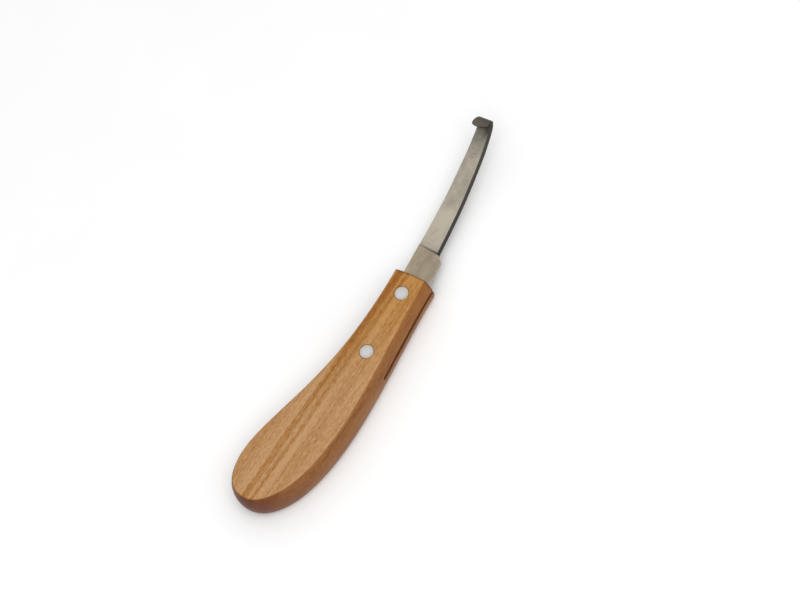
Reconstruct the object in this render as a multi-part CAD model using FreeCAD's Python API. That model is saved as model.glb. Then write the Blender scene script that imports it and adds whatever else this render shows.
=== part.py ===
"""Right-handed hoof knife: a curved steel blade with a hooked tip, riveted in a wooden handle.

Millimetres. While the pieces are made, X runs from the handle's front end towards the tip,
Y to the knife's left and Z up, with the handle's flat underside at Z = 0 and the tang's centre
line at Y = 0. At the end every piece is moved together, so that the origin is the middle of the
whole knife's box, on the surface that the knife lies on.
"""

import FreeCAD, Part
import math
import os

V = FreeCAD.Vector
UP = V(0, 0, 1)

# Handle: a flat slab whose sides swell at half height
HANDLE_THICKNESS = 17.8
SIDE_BULGE = 2.2
FRONT_RADIUS = 80.0
BUTT = -124.3
WIDER_THAN_HANDLE = 40.0
OVERRUN = 6.0
# Its long edges are rounded more than the edges of its front end, which lie in the front depth
EDGE_ROUNDING = 0.9
FRONT_ROUNDING = 0.35
FRONT_DEPTH = 3.0
# Outline of its flat faces, from the front's left corner round the butt to the right corner
HANDLE_OUTLINE = (
    (OVERRUN, 7.3),
    (-20.0, 8.25),
    (-43.0, 11.35),
    (-66.0, 17.25),
    (-91.0, 25.7),
    (-109.0, 29.0),
    (-121.2, 24.8),
    (BUTT, 16.2),
    (-119.1, 6.8),
    (-107.0, -0.8),
    (-89.0, -5.8),
    (-61.0, -8.1),
    (-31.0, -7.8),
    (OVERRUN, -8.2),
)
BULGE_LEVELS = (-1.0, -0.5, 0.0, 0.5, 1.0)

# Blade plate and the kerf, the saw cut at half height that the tang lies in
BLADE_THICKNESS = 2.3
KERF_LENGTH = 47.7
BLADE_UNDERSIDE = (HANDLE_THICKNESS - BLADE_THICKNESS) / 2

# Rivets: a tube and a pin that fits in it, each with a flat head let into the wood
RIVET_PLACES = {"front_rivet": (-10.0, -0.9), "rear_rivet": (-41.3, 0.0)}
HEAD_RADIUS = 3.35
HEAD_THICKNESS = 1.3
HEAD_CHAMFER = 0.15
HEAD_CLEARANCE = 0.12
TUBE_RADIUS = 2.1
TUBE_CLEARANCE = 0.05
TUBE_STOPS_SHORT = 2.0
PIN_RADIUS = 1.5
PIN_CLEARANCE = 0.02
PIN_STOPS_SHORT = 1.0

# Tang and ricasso: the flat end of the blade, at full thickness
TANG_LENGTH = 47.0
TANG_HALF_WIDTH = 5.8
RICASSO_START = -1.5
RICASSO_LEFT = 6.95
RICASSO_RIGHT = -7.0
SHOULDER = (13.0, -6.6)
STEP_RIGHT = (15.8, -3.8)
STEP_LEFT = (17.3, RICASSO_LEFT)

# Ground blade: each stretch of its underside is (length, slope in degrees at the far end)
GROUND_START = 11.1
BLADE_STRETCHES = (
    (4.6, 0.0),
    (25.0, 5.5),
    (3.0, 8.5),
    (24.0, 14.5),
    (10.0, 23.0),
    (3.1, 32.0),
)
HOOK_RADIUS = 3.6
HOOK_END_SLOPE = 190.0
SECTION_SPACING = 3.0
HOOK_SECTION_SPACING = 0.6
# Edges and thicknesses of the ground blade, by distance along its underside
LEFT_EDGE = (
    (0.0, 6.95),
    (67.0, 6.5),
    (70.0, 6.5),
    (75.0, 5.9),
    (76.3, 5.95),
    (77.4, 6.35),
    (79.63, 7.0),
)
RIGHT_EDGE = (
    (0.0, -4.1),
    (4.6, -3.8),
    (34.0, -2.7),
    (55.0, -1.75),
    (68.0, -0.8),
    (71.6, -0.4),
    (75.2, -0.7),
    (79.0, -0.95),
)
BACK_THICKNESS = ((0.0, 2.1), (65.0, 1.6), (80.0, 1.5))
FACE_THICKNESS = ((0.0, 1.25), (65.0, 1.15), (80.0, 1.1))
BEVEL_WIDTH = 1.2
EDGE_THICKNESS = 0.15

# Lip: the hook's straight free end. Its rounded outline is (distance past the hook's curve, Y)
LIP_REACH = 2.5
LIP_END = (
    (0.75, 0.2),
    (1.35, 1.55),
    (1.75, 3.0),
    (1.85, 4.3),
    (1.8, 5.7),
    (1.55, 6.6),
    (1.05, 6.95),
)


def between(table, place):
    """Value at a place in a table of (place, value), in a straight line between its rows."""
    for (start, low), (end, high) in zip(table, table[1:]):
        if place <= end:
            return low + (high - low) * (place - start) / (end - start)
    return table[-1][1]


def prism(outline, bottom, top):
    """Upright solid with a closed wire at Z = 0 as its outline."""
    face = Part.Face(outline)
    face.translate(UP * bottom)
    return face.extrude(UP * (top - bottom))


def line(start, end):
    return Part.LineSegment(start, end).toShape()


def arc(start, middle, end):
    return Part.Arc(start, middle, end).toShape()


# ------------------------------------------------------------------ handle
def handle_level(level):
    """The handle's outline at a level from -1, the underside, to 1, the upper face."""
    half = HANDLE_THICKNESS / 2
    side_radius = (half ** 2 + SIDE_BULGE ** 2) / (2 * SIDE_BULGE)
    swell = math.sqrt(side_radius ** 2 - (level * half) ** 2) - (side_radius - SIDE_BULGE)
    flat_curve = Part.BSplineCurve()
    flat_curve.interpolate([V(x, y, 0) for x, y in HANDLE_OUTLINE])
    points = []
    for x, y in HANDLE_OUTLINE:
        tangent = flat_curve.tangent(flat_curve.parameter(V(x, y, 0)))[0]
        points.append(V(x + swell * tangent.y, y - swell * tangent.x, half * (1 + level)))
    curve = Part.BSplineCurve()
    curve.interpolate(points)
    return Part.Wire([curve.toShape(), line(points[-1], points[0])])


def front_end_shape():
    """Solid whose slightly rounded front end trims the handle's front."""
    back = BUTT - WIDER_THAN_HANDLE
    drop = FRONT_RADIUS - math.sqrt(FRONT_RADIUS ** 2 - WIDER_THAN_HANDLE ** 2)
    left = V(-drop, WIDER_THAN_HANDLE, 0)
    right = V(-drop, -WIDER_THAN_HANDLE, 0)
    back_left = V(back, WIDER_THAN_HANDLE, 0)
    back_right = V(back, -WIDER_THAN_HANDLE, 0)
    edges = [
        arc(right, V(0, 0, 0), left),
        line(left, back_left),
        line(back_left, back_right),
        line(back_right, right),
    ]
    return prism(Part.Wire(edges), 0, HANDLE_THICKNESS)


def rivet_bore(place):
    """Everything that a rivet needs drilled out of the wood."""
    base = V(place[0], place[1], 0)
    hole = Part.makeCylinder(TUBE_RADIUS + TUBE_CLEARANCE, HANDLE_THICKNESS, base)
    seat_radius = HEAD_RADIUS + HEAD_CLEARANCE
    lower_seat = Part.makeCylinder(seat_radius, HEAD_THICKNESS, base)
    upper_base = base + UP * (HANDLE_THICKNESS - HEAD_THICKNESS)
    upper_seat = Part.makeCylinder(seat_radius, HEAD_THICKNESS, upper_base)
    return hole.fuse([lower_seat, upper_seat])


def make_handle():
    slab = Part.makeLoft([handle_level(level) for level in BULGE_LEVELS], True, False)
    slab = slab.common(front_end_shape())
    long_edges = [edge for edge in slab.Edges if edge.BoundBox.XMin < -FRONT_DEPTH]
    slab = slab.makeFillet(EDGE_ROUNDING, long_edges)
    front_edges = [edge for edge in slab.Edges if edge.BoundBox.XMin > -FRONT_DEPTH]
    slab = slab.makeFillet(FRONT_ROUNDING, front_edges)
    corner = V(-KERF_LENGTH, -WIDER_THAN_HANDLE, BLADE_UNDERSIDE)
    width = 2 * WIDER_THAN_HANDLE
    slab = slab.cut(Part.makeBox(KERF_LENGTH + OVERRUN, width, BLADE_THICKNESS, corner))
    for place in RIVET_PLACES.values():
        slab = slab.cut(rivet_bore(place))
    return slab


# ------------------------------------------------------------------- blade
def flat_part():
    """Tang and ricasso in one plate, drilled for the rivets."""
    tang_end = V(-TANG_LENGTH, 0, 0)
    bend = TANG_LENGTH - TANG_HALF_WIDTH
    tang_left = V(-bend, TANG_HALF_WIDTH, 0)
    tang_right = V(-bend, -TANG_HALF_WIDTH, 0)
    corners = [
        tang_right,
        V(RICASSO_START, -TANG_HALF_WIDTH, 0),
        V(RICASSO_START, RICASSO_RIGHT, 0),
        V(*SHOULDER, 0),
        V(*STEP_RIGHT, 0),
        V(*STEP_LEFT, 0),
        V(RICASSO_START, RICASSO_LEFT, 0),
        V(RICASSO_START, TANG_HALF_WIDTH, 0),
        tang_left,
    ]
    edges = [line(start, end) for start, end in zip(corners, corners[1:])]
    edges.append(arc(tang_left, tang_end, tang_right))
    plate = prism(Part.Wire(edges), BLADE_UNDERSIDE, BLADE_UNDERSIDE + BLADE_THICKNESS)
    for x, y in RIVET_PLACES.values():
        plate = plate.cut(
            Part.makeCylinder(TUBE_RADIUS + TUBE_CLEARANCE, HANDLE_THICKNESS, V(x, y, 0))
        )
    return plate


def blade_stations():
    """Places along the underside, each as (distance, x, z, slope in radians)."""
    distance, x, z, slope = 0.0, GROUND_START, BLADE_UNDERSIDE, 0.0
    stations = [(distance, x, z, slope)]
    hook_start = math.radians(BLADE_STRETCHES[-1][1])
    hook_length = HOOK_RADIUS * (math.radians(HOOK_END_SLOPE) - hook_start)
    stretches = [(length, math.radians(end), SECTION_SPACING) for length, end in BLADE_STRETCHES]
    stretches.append((hook_length, math.radians(HOOK_END_SLOPE), HOOK_SECTION_SPACING))
    for length, end_slope, spacing in stretches:
        count = math.ceil(length / spacing)
        step = length / count
        turn = (end_slope - slope) / count
        chord = step if turn == 0 else 2 * step / turn * math.sin(turn / 2)
        for _ in range(count):
            x += chord * math.cos(slope + turn / 2)
            z += chord * math.sin(slope + turn / 2)
            slope += turn
            distance += step
            stations.append((distance, x, z, slope))
    return stations


def blade_section(station):
    """Closed section of the ground blade: flat below, thinner and bevelled to the right."""
    distance, x, z, slope = station
    left = between(LEFT_EDGE, distance)
    right = between(RIGHT_EDGE, distance)
    outline = (
        (left, 0.0),
        (right, 0.0),
        (right, EDGE_THICKNESS),
        (right + BEVEL_WIDTH, between(FACE_THICKNESS, distance)),
        (left, between(BACK_THICKNESS, distance)),
    )
    points = [V(x - rise * math.sin(slope), y, z + rise * math.cos(slope)) for y, rise in outline]
    return Part.makePolygon(points + points[:1])


def make_lip(station):
    """Straight end of the hook, cut to its rounded outline."""
    distance, x, z, slope = station
    along = V(math.cos(slope), 0, math.sin(slope))
    inward = V(-math.sin(slope), 0, math.cos(slope))
    strip = Part.Face(blade_section(station)).extrude(along * LIP_REACH)
    corners = [(0.0, between(RIGHT_EDGE, distance)), *LIP_END, (0.0, between(LEFT_EDGE, distance))]
    points = [V(x, y, z) + along * reach for reach, y in corners]
    curve = Part.BSplineCurve()
    curve.interpolate(points)
    outline = Part.Face(Part.Wire([curve.toShape(), line(points[-1], points[0])]))
    outline.translate(inward * -BLADE_THICKNESS)
    return strip.common(outline.extrude(inward * (3 * BLADE_THICKNESS)))


def make_blade():
    """Tang and ricasso, the curved ground blade with its hook, and the lip."""
    stations = blade_stations()
    ground = Part.makeLoft([blade_section(station) for station in stations], True, False)
    return flat_part().fuse([ground, make_lip(stations[-1])]).removeSplitter()


# ------------------------------------------------------------------ rivets
def rivet_head(place, face_z, inward):
    """Flat round head whose outer face is flush with the wood."""
    base = V(place[0], place[1], face_z)
    head = Part.makeCylinder(HEAD_RADIUS, HEAD_THICKNESS, base, V(0, 0, inward))
    rim = [edge for edge in head.Edges if edge.BoundBox.ZLength < HEAD_CHAMFER
           and abs(edge.BoundBox.ZMin - face_z) < HEAD_CHAMFER]
    return head.makeChamfer(HEAD_CHAMFER, rim)


def make_tube_half(place):
    """Lower half of a rivet: a head with a tube standing on it."""
    base = V(place[0], place[1], HEAD_THICKNESS / 2)
    top = HANDLE_THICKNESS - HEAD_THICKNESS - TUBE_STOPS_SHORT
    tube = Part.makeCylinder(TUBE_RADIUS, top - base.z, base)
    bore_base = V(place[0], place[1], HEAD_THICKNESS)
    bore = Part.makeCylinder(PIN_RADIUS + PIN_CLEARANCE, HANDLE_THICKNESS, bore_base)
    return rivet_head(place, 0, 1).fuse(tube).cut(bore).removeSplitter()


def make_pin_half(place):
    """Upper half of a rivet: a head with a pin that goes down into the tube."""
    base = V(place[0], place[1], HEAD_THICKNESS + PIN_STOPS_SHORT)
    top = HANDLE_THICKNESS - HEAD_THICKNESS / 2
    pin = Part.makeCylinder(PIN_RADIUS, top - base.z, base)
    return rivet_head(place, HANDLE_THICKNESS, -1).fuse(pin).removeSplitter()


# ---------------------------------------------------------------- assembly
def make_knife():
    pieces = {"handle": make_handle(), "blade": make_blade()}
    for name, place in RIVET_PLACES.items():
        pieces[name + "_tube"] = make_tube_half(place)
        pieces[name + "_pin"] = make_pin_half(place)
    return pieces


def export(pieces):
    """Move the knife to its origin and write one STEP file for each piece."""
    box = Part.makeCompound(list(pieces.values())).optimalBoundingBox(False)
    to_origin = V(-box.Center.x, -box.Center.y, -box.ZMin)
    os.makedirs("parts", exist_ok=True)
    for name, shape in pieces.items():
        shape.translate(to_origin)
        shape.exportStep("parts/" + name + ".step")
        print(name, shape.ShapeType, shape.isValid(), round(shape.Volume, 1), "mm3")
    print("box", round(box.XLength, 2), round(box.YLength, 2), round(box.ZLength, 2))
    print("moved by", [round(value, 3) for value in to_origin])


export(make_knife())
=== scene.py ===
"""Looks, light and camera for the hoof knife: an oiled wooden handle, a brushed steel
blade and two aluminium rivets, lying on a plain pale floor.

Lengths inside the materials are in millimetres, everything else is in metres.
"""

import math

import bpy
from mathutils import Matrix, Vector


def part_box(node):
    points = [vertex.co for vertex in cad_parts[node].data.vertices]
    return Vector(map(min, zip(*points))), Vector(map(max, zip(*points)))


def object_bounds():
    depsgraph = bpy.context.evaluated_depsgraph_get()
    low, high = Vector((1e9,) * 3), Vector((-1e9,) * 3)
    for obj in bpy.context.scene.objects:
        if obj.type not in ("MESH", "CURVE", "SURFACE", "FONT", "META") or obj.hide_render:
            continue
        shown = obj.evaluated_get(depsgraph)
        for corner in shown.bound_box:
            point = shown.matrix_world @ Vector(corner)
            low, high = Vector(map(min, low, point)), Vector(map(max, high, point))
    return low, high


MM_PER_METRE = 1000.0

# Camera: it looks at the handle's upper face beside the front rivet.
CAMERA_AZIMUTH = math.radians(-32.60)
CAMERA_ELEVATION = math.radians(61.30)
CAMERA_ROLL = math.radians(31.32)
CAMERA_DISTANCE = 1.1
CAMERA_LENS = 110.4
CAMERA_CLIP = (0.01, 50.0)
AIM_FROM_FRONT_RIVET = (-0.00322, -0.00103)

# Light: a softbox on the viewer's side, placed from the point above the origin that is as high as
# the handle's upper face, and a sky that is brightest overhead, a little towards the blade.
SOFTBOX_PLACE = Vector((-0.3, -0.55, 1.36))
SOFTBOX_SIZE = 1.2
SOFTBOX_POWER = 12.0
SKY_TOWARD = Vector((0.35, -0.1, 0.93))
SKY_DIM = 0.15
SKY_BRIGHT = 1.15
WHITE = (1.0, 1.0, 1.0, 1.0)

# Floor: its mottle is a noise pattern in waves per millimetre, with its detail and roughness.
FLOOR_SIDE = 6.0
FLOOR_MOTTLE = ((0.02, 0.02, 0.02), 3.0, 0.5)
FLOOR_ROUGHNESS = 0.9
FLOOR_SHADES = ((0.0, (0.86, 0.86, 0.86, 1.0)), (1.0, (0.9, 0.9, 0.9, 1.0)))


# --- Node helpers -------------------------------------------------------------------------

# Ranges in which the values of a noise pattern are read
NARROW = (0.3, 0.7)
MEDIUM = (0.25, 0.75)
WIDE = (0.2, 0.8)
WHOLE = (0.0, 1.0)


def add_node(tree, kind, inputs, **settings):
    """Adds a node. Each input is given a number or colour, or another node's output."""
    node = tree.nodes.new(kind)
    for name, value in settings.items():
        setattr(node, name, value)
    for name, value in inputs.items():
        if isinstance(value, bpy.types.NodeSocket):
            tree.links.new(value, node.inputs[name])
        else:
            node.inputs[name].default_value = value
    return node


def calculate(tree, operation, first, second):
    """One step of arithmetic on numbers or node outputs."""
    inputs = {0: first, 1: second}
    return add_node(tree, "ShaderNodeMath", inputs, operation=operation).outputs[0]


def size_of(tree, value):
    """The value without its sign."""
    return calculate(tree, "ABSOLUTE", value, 0.0)


def remap(tree, value, low, high, to_low, to_high):
    """Carries value from the range low..high to the range to_low..to_high, clamped."""
    inputs = {0: value, 1: low, 2: high, 3: to_low, 4: to_high}
    return add_node(tree, "ShaderNodeMapRange", inputs).outputs[0]


def ramp_up(tree, value, low, high):
    """0 where value is at low, 1 where it is at high."""
    return remap(tree, value, low, high, 0.0, 1.0)


def add_spread(tree, total, pattern, span, most):
    """Adds to total from -most, at the low end of the pattern's span, to most at its high end."""
    return calculate(tree, "ADD", total, remap(tree, pattern, *span, -most, most))


def stretch(tree, vector, scale):
    """The same place with each axis scaled."""
    inputs = {"Vector": vector, "Scale": scale}
    return add_node(tree, "ShaderNodeMapping", inputs).outputs[0]


def noise(tree, vector, scale, detail, roughness):
    """A smooth random value about 0.5; scale is in waves per millimetre along X, Y and Z."""
    inputs = {
        "Vector": stretch(tree, vector, scale),
        "Scale": 1.0,
        "Detail": detail,
        "Roughness": roughness,
    }
    return add_node(tree, "ShaderNodeTexNoise", inputs).outputs[0]


def blend(tree, amount, first, second, how="MIX"):
    """Mixes two colours."""
    settings = {"data_type": "RGBA", "blend_type": how, "clamp_result": False}
    inputs = {0: amount, 6: first, 7: second}
    return add_node(tree, "ShaderNodeMix", inputs, **settings).outputs[2]


def tint(tree, amount, colour, shade):
    """Multiplies a colour by a shade where amount is 1."""
    return blend(tree, amount, colour, shade, "MULTIPLY")


def colour_ramp(tree, value, stops):
    """A colour for each value: stops are pairs of position (0 to 1) and colour."""
    node = add_node(tree, "ShaderNodeValToRGB", {0: value})
    ramp = node.color_ramp
    ramp.elements[0].position = stops[0][0]
    ramp.elements[0].color = stops[0][1]
    ramp.elements[1].position = stops[-1][0]
    ramp.elements[1].color = stops[-1][1]
    for position, colour in stops[1:-1]:
        ramp.elements.new(position).color = colour
    return node.outputs[0]


def bump(tree, height, depth_mm):
    """A surface normal roughened by height (0 to 1) times depth_mm."""
    inputs = {"Height": height, "Strength": 1.0, "Distance": depth_mm / MM_PER_METRE}
    return add_node(tree, "ShaderNodeBump", inputs).outputs[0]


def axes(tree, vector):
    """The X, Y and Z outputs of a vector."""
    return add_node(tree, "ShaderNodeSeparateXYZ", {"Vector": vector}).outputs


def surface_direction(tree):
    """The X, Y and Z of the direction in which the surface faces."""
    return axes(tree, add_node(tree, "ShaderNodeTexCoord", {}).outputs["Normal"])


def new_material(name):
    """A material, its node tree and main shader, and the place on the object in millimetres."""
    material = bpy.data.materials.new(name)
    material.use_nodes = True
    tree = material.node_tree
    shader = tree.nodes["Principled BSDF"]
    place = add_node(tree, "ShaderNodeTexCoord", {}).outputs["Object"]
    return material, tree, shader, stretch(tree, place, (MM_PER_METRE,) * 3)


def middle_of(node):
    """The centre of a node's box."""
    low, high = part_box(node)
    return (low + high) / 2


# --- Handle -------------------------------------------------------------------------------

# Noise patterns: waves per millimetre along the grain, across it and upwards, detail, roughness
WAVER = ((0.012, 0.05, 0.05), 2.0, 0.5)
FIBRES = ((0.05, 1.6, 1.6), 4.0, 0.65)
STREAKS = ((0.02, 0.9, 0.9), 3.0, 0.6)
FLECKS = ((0.4, 1.3, 1.3), 4.0, 0.75)
GRAIN_TILT = math.radians(5.94)
LATE_WOOD = (0.275, 0.103, 0.008, 1.0)
EARLY_WOOD = (0.455, 0.262, 0.12, 1.0)

# Growth rings: distance across the grain at the upper face, and how pale the wood is there.
GROWTH_RINGS = (
    (-36.0, 0.2),
    (-33.0, 0.7),
    (-30.5, 0.3),
    (-28.0, 0.75),
    (-25.0, 0.4),
    (-22.5, 0.7),
    (-20.5, 0.72),
    (-18.5, 0.85),
    (-16.5, 0.6),
    (-14.8, 0.5),
    (-13.6, 0.7),
    (-12.4, 0.55),
    (-11.0, 0.9),
    (-9.4, 0.95),
    (-8.2, 0.5),
    (-7.4, 0.38),
    (-6.6, 0.5),
    (-5.5, 0.8),
    (-4.6, 0.35),
    (-3.4, 0.2),
    (-2.6, 0.2),
    (-1.4, 0.95),
    (0.0, 0.8),
    (1.5, 0.7),
    (3.5, 0.65),
    (6.0, 0.5),
    (9.0, 0.8),
)
# How far the rings move across per millimetre of depth, and how far waver and fibres shift them
RING_DIP = 0.35
RING_WAVER = 1.6
RING_FRAY = 0.9
# How far each pattern makes the wood paler or darker
STREAK_STRENGTH = 0.3
FLECK_STRENGTH = 0.5
FIBRE_STRENGTH = 0.15

# The wood turns amber over this stretch, forwards from the handle's middle.
AMBER = (0.98, 0.86, 0.52, 1.0)
AMBER_STRETCH = (5.0, 50.0)
# It is deeper orange at the front's left: forwards from the handle's middle over this stretch,
# and leftwards from the rear rivet over this width.
FRONT_LEFT_TINT = (0.86, 0.77, 0.52, 1.0)
FRONT_LEFT_STRETCH = (-8.0, 25.0)
FRONT_LEFT_WIDTH = (1.0, 6.0)
# The sides are painted darker and redder as shade, where a face is less level than this. The butt
# is darker too, where a face points back by this much: partly its end grain's own colour, partly
# painted shade.
SIDE_SHADE_TINT = (0.64, 0.46, 0.24, 1.0)
SIDE_LEVELNESS = (0.35, 0.85)
END_GRAIN_AND_SHADE_TINT = (0.52, 0.28, 0.08, 1.0)
BUTT_GRAIN_AND_SHADE_FACING = (-0.25, -0.9)
# Painted shade lies on the level faces of the saw cut, this close to the handle's half height, and
# along the front edge, which is an arc of this radius.
CUT_AND_EDGE_SHADE = (0.42, 0.33, 0.27, 1.0)
SAW_CUT_LEVEL = (1.4, 1.2)
SAW_CUT_LEVELNESS = (0.9, 0.95)
FRONT_RADIUS = 80.0
FRONT_SHADE_DEPTH = (0.35, 1.0)
FRONT_EDGE_SHADE = 0.85

WOOD_ROUGHNESS = (0.38, 0.52)
WOOD_SPECULAR = 0.25
WOOD_BUMP = 0.02


def ring_tone(tree, grain, fibre):
    """How pale the wood is from its growth rings, which waver and dip to one side."""
    parts = axes(tree, grain)
    waver = noise(tree, grain, *WAVER)
    depth = calculate(tree, "MULTIPLY", parts["Z"], RING_DIP)
    across = calculate(tree, "ADD", parts["Y"], depth)
    across = add_spread(tree, across, waver, WHOLE, RING_WAVER)
    across = add_spread(tree, across, fibre, WHOLE, RING_FRAY)
    top_depth = RING_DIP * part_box("handle")[1].z * MM_PER_METRE
    low = GROWTH_RINGS[0][0]
    high = GROWTH_RINGS[-1][0]
    place = ramp_up(tree, across, low + top_depth, high + top_depth)
    stops = [((ring - low) / (high - low), (pale, pale, pale, 1.0)) for ring, pale in GROWTH_RINGS]
    return colour_ramp(tree, place, stops)


def wood_grain(tree, place):
    """The bare wood's colour, and the pattern of its flecks."""
    turned = {"Vector": place, "Rotation": (0.0, 0.0, GRAIN_TILT)}
    grain = add_node(tree, "ShaderNodeMapping", turned).outputs[0]
    fibre = noise(tree, grain, *FIBRES)
    streak = noise(tree, grain, *STREAKS)
    fleck = noise(tree, grain, *FLECKS)
    tone = ring_tone(tree, grain, fibre)
    tone = add_spread(tree, tone, streak, MEDIUM, STREAK_STRENGTH)
    tone = add_spread(tree, tone, fleck, NARROW, FLECK_STRENGTH)
    tone = add_spread(tree, tone, fibre, NARROW, FIBRE_STRENGTH)
    return colour_ramp(tree, tone, ((0.0, LATE_WOOD), (1.0, EARLY_WOOD))), fleck


def tint_front(tree, colour, spot, leftward):
    """Amber towards the front, and a deeper orange at the front's left."""
    middle = middle_of("handle").x * MM_PER_METRE
    start, end = AMBER_STRETCH
    amber = ramp_up(tree, spot["X"], middle + start, middle + end)
    colour = tint(tree, amber, colour, AMBER)
    start, end = FRONT_LEFT_STRETCH
    forward = ramp_up(tree, spot["X"], middle + start, middle + end)
    left = ramp_up(tree, leftward, *FRONT_LEFT_WIDTH)
    return tint(tree, calculate(tree, "MULTIPLY", left, forward), colour, FRONT_LEFT_TINT)


def paint_side_shade(tree, colour, levelness, forwardness):
    """Painted shade: darker, redder wood on the sides, and on the butt, partly its end grain's own
    colour.
    """
    side = remap(tree, levelness, *SIDE_LEVELNESS, 1.0, 0.0)
    colour = tint(tree, side, colour, SIDE_SHADE_TINT)
    end_grain_and_shade = ramp_up(tree, forwardness, *BUTT_GRAIN_AND_SHADE_FACING)
    return tint(tree, end_grain_and_shade, colour, END_GRAIN_AND_SHADE_TINT)


def paint_cut_and_edge_shade(tree, colour, spot, leftward, levelness):
    """Painted shade on the flat faces of the saw cut and behind the curved front edge."""
    half_height = middle_of("handle").z * MM_PER_METRE
    level = size_of(tree, calculate(tree, "SUBTRACT", spot["Z"], half_height))
    saw_cut = ramp_up(tree, level, *SAW_CUT_LEVEL)
    flat = ramp_up(tree, levelness, *SAW_CUT_LEVELNESS)
    saw_cut = calculate(tree, "MULTIPLY", saw_cut, flat)
    curve = calculate(tree, "MULTIPLY", leftward, leftward)
    curve = calculate(tree, "DIVIDE", curve, 2 * FRONT_RADIUS)
    reach = calculate(tree, "ADD", spot["X"], curve)
    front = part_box("handle")[1].x * MM_PER_METRE
    behind = calculate(tree, "SUBTRACT", front, reach)
    edge = remap(tree, behind, *FRONT_SHADE_DEPTH, FRONT_EDGE_SHADE, 0.0)
    return tint(tree, calculate(tree, "MAXIMUM", saw_cut, edge), colour, CUT_AND_EDGE_SHADE)


def handle_wood():
    """Straight-grained reddish hardwood with a thin oiled finish."""
    material, tree, shader, place = new_material("handle_wood_oiled")
    spot = axes(tree, place)
    facing = surface_direction(tree)
    levelness = size_of(tree, facing["Z"])
    centre_line = middle_of("rear_rivet_pin").y * MM_PER_METRE
    leftward = calculate(tree, "SUBTRACT", spot["Y"], centre_line)
    colour, fleck = wood_grain(tree, place)
    colour = tint_front(tree, colour, spot, leftward)
    # Painted shade on the sides and butt, in the saw cut and behind the front edge
    colour = paint_side_shade(tree, colour, levelness, facing["X"])
    colour = paint_cut_and_edge_shade(tree, colour, spot, leftward, levelness)
    roughness = remap(tree, fleck, *NARROW, *WOOD_ROUGHNESS)
    tree.links.new(colour, shader.inputs["Base Color"])
    tree.links.new(roughness, shader.inputs["Roughness"])
    tree.links.new(bump(tree, fleck, WOOD_BUMP), shader.inputs["Normal"])
    shader.inputs["Specular IOR Level"].default_value = WOOD_SPECULAR
    return material


# --- Blade --------------------------------------------------------------------------------

# Noise patterns: waves per millimetre along X, Y and Z, detail, roughness
GRINDING_LINES = ((4.5, 0.1, 4.5), 3.0, 0.75)
STEEL_CLOUDS = ((0.1, 0.25, 0.25), 4.0, 0.6)
BRIGHT_STEEL = (0.43, 0.386, 0.312, 1.0)
DULL_STEEL = (0.07, 0.064, 0.057, 1.0)

# How far clouds and grinding lines make the steel duller, at their least and most
CLOUD_DULLNESS = (-0.12, 0.24)
LINE_DULLNESS = (-0.16, 0.16)
# Painted shade: the steel darkens over this stretch back from the tip, towards the tip.
TIP_STRETCH = (18.0, 4.0)
TIP_SHADE = 0.5
# A painted highlight: the ground face is brightest this far beyond the step, and dulls over this
# distance from there.
HIGHLIGHT_BEYOND_STEP = 12.0
HIGHLIGHT_REACH = (6.0, 14.0)
HIGHLIGHT_FADE = 0.25
# The bevel is painted darker, as shade for the dark it reflects: how far to the right a face must
# point to be part of it, and the stretch about the step over which it sets in
BEVEL_FACING = (-0.35, -0.6)
BEVEL_START = (-0.4, 0.4)

# Where the ground face begins, back from the blade's tip: at its right and left edges
STEP_FROM_TIP = (65.3, 63.8)
STEP_SOFTNESS = 0.05
# The flat steel before the step is a little warmer and brighter, and its right side is brighter
# still but cooler, a painted reflection of the white floor.
FLAT_TINT = (1.12, 1.04, 0.93, 1.0)
FLAT_SIDE_REFLECTION = (1.2, 1.25, 1.35, 1.0)
FLAT_SIDE_FACING = (-0.7, -0.9)
# Painted shade in the corner of the step: its width and strength at the right and left edges
STEP_SHADE_START = -0.7
STEP_SHADE_WIDTH = (2.1, 1.3)
STEP_SHADE = (1.05, 0.3)
# The painted shade rises over this depth in millimetres, and fades over these shares of its width.
STEP_SHADE_RISE = (0.0, 0.2)
STEP_SHADE_FADE = (1.0, 0.6)
STEP_SHADE_COLOUR = (0.045, 0.04, 0.032, 1.0)

# Dark skin covers the hook down to this far below the blade's top, and the blade's underside.
SKIN_STEEL = (0.11, 0.098, 0.08, 1.0)
SKIN_DROP = (3.5, 7.0)
SKIN_FACING = (0.0, -0.3)
UNDERSIDE_SKIN = 0.8
SKIN_THINNEST = 0.75

STEEL_ROUGHNESS = (0.36, 0.5)
STEEL_BUMP = 0.012


def leftness_across(tree, parts):
    """0 at the blade's right edge, 1 at its left edge."""
    low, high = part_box("blade")
    return ramp_up(tree, parts["Y"], low.y * MM_PER_METRE, high.y * MM_PER_METRE)


def beyond_step(tree, parts, leftness):
    """How far a place is beyond the line where the ground face begins."""
    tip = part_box("blade")[1].x * MM_PER_METRE
    right, left = STEP_FROM_TIP
    line = remap(tree, leftness, 0.0, 1.0, tip - right, tip - left)
    return calculate(tree, "SUBTRACT", parts["X"], line)


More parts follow.
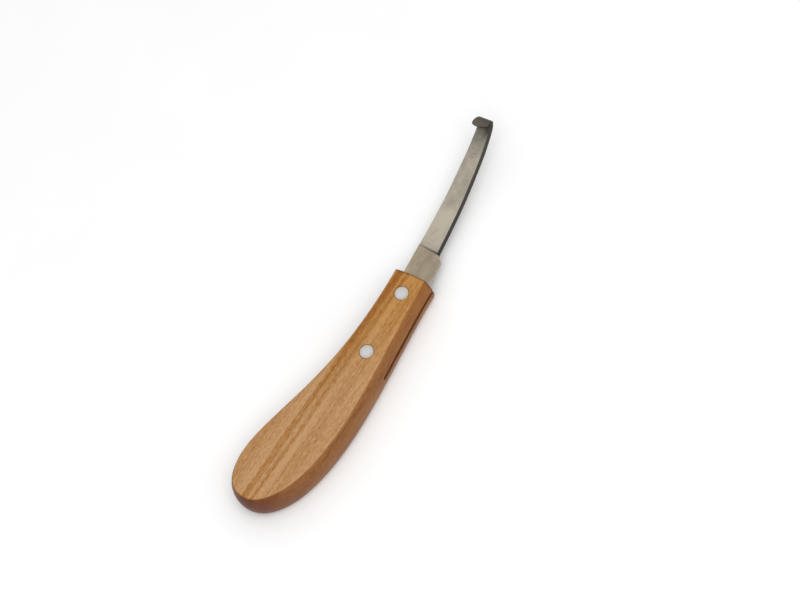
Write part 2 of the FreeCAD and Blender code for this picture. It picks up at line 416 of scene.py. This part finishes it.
def steel_dullness(tree, parts, facing, beyond, lines, clouds):
    """How dull the steel is, with painted shade and a painted highlight: 0 for the brightest, 1
    for the dullest.
    """
    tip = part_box("blade")[1].x * MM_PER_METRE
    start, end = TIP_STRETCH
    away = size_of(tree, calculate(tree, "SUBTRACT", beyond, HIGHLIGHT_BEYOND_STEP))
    bevel = ramp_up(tree, facing["Y"], *BEVEL_FACING)
    ground = ramp_up(tree, beyond, *BEVEL_START)
    dull = remap(tree, clouds, *NARROW, *CLOUD_DULLNESS)
    # Grinding lines, painted shade at the tip, a painted highlight beyond the step, painted bevel
    # shade
    for part in (
        remap(tree, lines, *MEDIUM, *LINE_DULLNESS),
        remap(tree, parts["X"], tip - start, tip - end, 0.0, TIP_SHADE),
        remap(tree, away, *HIGHLIGHT_REACH, 0.0, HIGHLIGHT_FADE),
        calculate(tree, "MULTIPLY", bevel, ground),
    ):
        dull = calculate(tree, "ADD", dull, part)
    return dull


def tint_flat(tree, colour, facing, beyond):
    """The unground flat steel before the step, and a painted reflection on its right side."""
    unground = ramp_up(tree, beyond, STEP_SOFTNESS, -STEP_SOFTNESS)
    colour = tint(tree, unground, colour, FLAT_TINT)
    side = ramp_up(tree, facing["Y"], *FLAT_SIDE_FACING)
    side = calculate(tree, "MULTIPLY", side, unground)
    return tint(tree, side, colour, FLAT_SIDE_REFLECTION)


def add_skin(tree, colour, parts, facing, clouds):
    """Dark skin on the hook and on the blade's underside, thinner in places."""
    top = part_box("blade")[1].z * MM_PER_METRE
    start, end = SKIN_DROP
    hook = ramp_up(tree, parts["Z"], top - end, top - start)
    underside = remap(tree, facing["Z"], *SKIN_FACING, 0.0, UNDERSIDE_SKIN)
    skin = calculate(tree, "MAXIMUM", hook, underside)
    thickness = remap(tree, clouds, *NARROW, SKIN_THINNEST, 1.0)
    return blend(tree, calculate(tree, "MULTIPLY", skin, thickness), colour, SKIN_STEEL)


def paint_step_shade(tree, colour, beyond, leftness):
    """A dark line of painted shade in the corner of the step, widest at the right."""
    width = remap(tree, leftness, 0.0, 1.0, *STEP_SHADE_WIDTH)
    depth = calculate(tree, "SUBTRACT", beyond, STEP_SHADE_START)
    inside = calculate(tree, "DIVIDE", depth, width)
    step_shade = ramp_up(tree, inside, *STEP_SHADE_FADE)
    step_shade = calculate(tree, "MULTIPLY", step_shade, ramp_up(tree, depth, *STEP_SHADE_RISE))
    strength = remap(tree, leftness, 0.0, 1.0, *STEP_SHADE)
    return blend(tree, calculate(tree, "MULTIPLY", step_shade, strength), colour, STEP_SHADE_COLOUR)


def blade_steel():
    """Steel ground across the blade, with a bevel painted darker as shade and dark skin on the
    outside.
    """
    material, tree, shader, place = new_material("blade_steel_ground")
    parts = axes(tree, place)
    facing = surface_direction(tree)
    lines = noise(tree, place, *GRINDING_LINES)
    clouds = noise(tree, place, *STEEL_CLOUDS)
    leftness = leftness_across(tree, parts)
    beyond = beyond_step(tree, parts, leftness)
    dull = steel_dullness(tree, parts, facing, beyond, lines, clouds)
    colour = colour_ramp(tree, dull, ((0.0, BRIGHT_STEEL), (1.0, DULL_STEEL)))
    # Painted reflection on the flat steel's right side
    colour = tint_flat(tree, colour, facing, beyond)
    colour = add_skin(tree, colour, parts, facing, clouds)
    # Painted shade in the corner of the step
    colour = paint_step_shade(tree, colour, beyond, leftness)
    roughness = remap(tree, lines, *WIDE, *STEEL_ROUGHNESS)
    tree.links.new(colour, shader.inputs["Base Color"])
    tree.links.new(roughness, shader.inputs["Roughness"])
    tree.links.new(bump(tree, lines, STEEL_BUMP), shader.inputs["Normal"])
    shader.inputs["Metallic"].default_value = 1.0
    return material


# --- Rivets -------------------------------------------------------------------------------

# Noise patterns: waves per millimetre along X, Y and Z, detail, roughness
SCRATCHES = ((1.2, 7.0, 1.0), 3.0, 0.7)
RIVET_CLOUDS = ((0.5, 0.5, 0.5), 3.0, 0.5)
BRIGHT_RIVET = (0.62, 0.65, 0.67, 1.0)
DULL_RIVET = (0.52, 0.45, 0.38, 1.0)
# The head dulls over this distance from its centre, towards its rim.
RIM_REACH = (1.4, 3.2)
RIM_DULLNESS = 0.75
SCRATCH_SPAN = (0.3, 0.8)
SCRATCH_DULLNESS = 0.3
RIVET_CLOUD_DULLNESS = (-0.1, 0.3)
RIVET_ROUGHNESS = (0.3, 0.5)
RIVET_BUMP = 0.01


def rim_dullness(tree, offset):
    """How much duller the head is, by its distance from the rivet's centre."""
    flat = stretch(tree, offset, (1.0, 1.0, 0.0))
    length = add_node(tree, "ShaderNodeVectorMath", {0: flat}, operation="LENGTH")
    return remap(tree, length.outputs["Value"], *RIM_REACH, 0.0, RIM_DULLNESS)


def rivet_metal(name, centre):
    """Aluminium with fine scratches; the head is duller at its rim."""
    material, tree, shader, place = new_material(name)
    middle = (centre.x * MM_PER_METRE, centre.y * MM_PER_METRE, 0.0)
    ends = {0: place, 1: middle}
    offset = add_node(tree, "ShaderNodeVectorMath", ends, operation="SUBTRACT").outputs[0]
    scratches = noise(tree, offset, *SCRATCHES)
    clouds = noise(tree, offset, *RIVET_CLOUDS)
    scratched = remap(tree, scratches, *SCRATCH_SPAN, 0.0, SCRATCH_DULLNESS)
    clouded = remap(tree, clouds, *NARROW, *RIVET_CLOUD_DULLNESS)
    dull = calculate(tree, "ADD", rim_dullness(tree, offset), scratched)
    dull = calculate(tree, "ADD", dull, clouded)
    colour = colour_ramp(tree, dull, ((0.0, BRIGHT_RIVET), (1.0, DULL_RIVET)))
    roughness = remap(tree, scratches, *WIDE, *RIVET_ROUGHNESS)
    tree.links.new(colour, shader.inputs["Base Color"])
    tree.links.new(roughness, shader.inputs["Roughness"])
    tree.links.new(bump(tree, scratches, RIVET_BUMP), shader.inputs["Normal"])
    shader.inputs["Metallic"].default_value = 1.0
    return material


def dress(node, material):
    """Gives a CAD node its finished material."""
    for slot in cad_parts[node].material_slots:
        slot.material = material


def dress_rivet(end):
    """One metal for a rivet's two halves."""
    pin = f"{end}_rivet_pin"
    metal = rivet_metal(f"{end}_rivet_aluminium", middle_of(pin))
    dress(pin, metal)
    dress(f"{end}_rivet_tube", metal)


# --- Stage --------------------------------------------------------------------------------


def add_floor(height):
    """A plain pale sheet under the object."""
    bpy.ops.mesh.primitive_plane_add(size=FLOOR_SIDE, location=(0.0, 0.0, height))
    floor = bpy.context.object
    floor.name = "floor"
    material, tree, shader, place = new_material("floor_paper")
    mottle = noise(tree, place, *FLOOR_MOTTLE)
    tree.links.new(colour_ramp(tree, mottle, FLOOR_SHADES), shader.inputs["Base Color"])
    shader.inputs["Roughness"].default_value = FLOOR_ROUGHNESS
    floor.data.materials.append(material)


def add_softbox(target):
    """A square area light that faces the target."""
    light = bpy.data.lights.new("softbox", "AREA")
    light.shape = "SQUARE"
    light.size = SOFTBOX_SIZE
    light.energy = SOFTBOX_POWER
    lamp = bpy.data.objects.new("softbox", light)
    lamp.location = target + SOFTBOX_PLACE
    lamp.rotation_euler = (-SOFTBOX_PLACE).to_track_quat("-Z", "Y").to_euler()
    bpy.context.scene.collection.objects.link(lamp)


def add_world():
    """Soft light that is brightest overhead and fades towards the horizon."""
    world = bpy.data.worlds.new("studio")
    world.use_nodes = True
    tree = world.node_tree
    direction = add_node(tree, "ShaderNodeTexCoord", {}).outputs["Generated"]
    ends = {0: direction, 1: SKY_TOWARD.normalized()}
    facing = add_node(tree, "ShaderNodeVectorMath", ends, operation="DOT_PRODUCT")
    strength = remap(tree, facing.outputs["Value"], 0.0, 1.0, SKY_DIM, SKY_BRIGHT)
    tree.links.new(strength, tree.nodes["Background"].inputs["Strength"])
    tree.nodes["Background"].inputs["Color"].default_value = WHITE
    bpy.context.scene.world = world


def camera_turn():
    """The camera's rotation: azimuth, elevation, then roll about its own axis."""
    return (
        Matrix.Rotation(CAMERA_AZIMUTH, 4, "Z")
        @ Matrix.Rotation(math.pi / 2 - CAMERA_ELEVATION, 4, "X")
        @ Matrix.Rotation(-CAMERA_ROLL, 4, "Z")
    )


def add_camera(aim):
    """A long lens, turned so that the knife stands diagonally in the picture."""
    camera = bpy.data.cameras.new("camera")
    camera.lens = CAMERA_LENS
    camera.clip_start, camera.clip_end = CAMERA_CLIP
    turn = camera_turn()
    back = turn @ Vector((0.0, 0.0, CAMERA_DISTANCE))
    holder = bpy.data.objects.new("camera", camera)
    holder.matrix_world = Matrix.Translation(aim + back) @ turn
    bpy.context.scene.collection.objects.link(holder)
    bpy.context.scene.camera = holder


def camera_aim(height):
    """The place on the handle's upper face that the camera looks at."""
    rivet = middle_of("front_rivet_pin")
    along, across = AIM_FROM_FRONT_RIVET
    return Vector((rivet.x + along, rivet.y + across, height))


# --- Scene --------------------------------------------------------------------------------

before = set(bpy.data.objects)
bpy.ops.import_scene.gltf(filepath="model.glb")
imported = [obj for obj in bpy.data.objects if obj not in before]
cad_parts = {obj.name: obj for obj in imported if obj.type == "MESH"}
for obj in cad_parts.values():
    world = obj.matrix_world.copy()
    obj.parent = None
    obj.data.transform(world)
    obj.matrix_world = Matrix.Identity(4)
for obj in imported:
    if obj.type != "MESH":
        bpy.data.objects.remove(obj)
cad_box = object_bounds()

dress("handle", handle_wood())
dress("blade", blade_steel())
dress_rivet("front")
dress_rivet("rear")

face_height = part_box("handle")[1].z
add_floor(cad_box[0].z)
add_softbox(Vector((0.0, 0.0, face_height)))
add_world()
add_camera(camera_aim(face_height))
bpy.context.scene.view_settings.view_transform = "Standard"
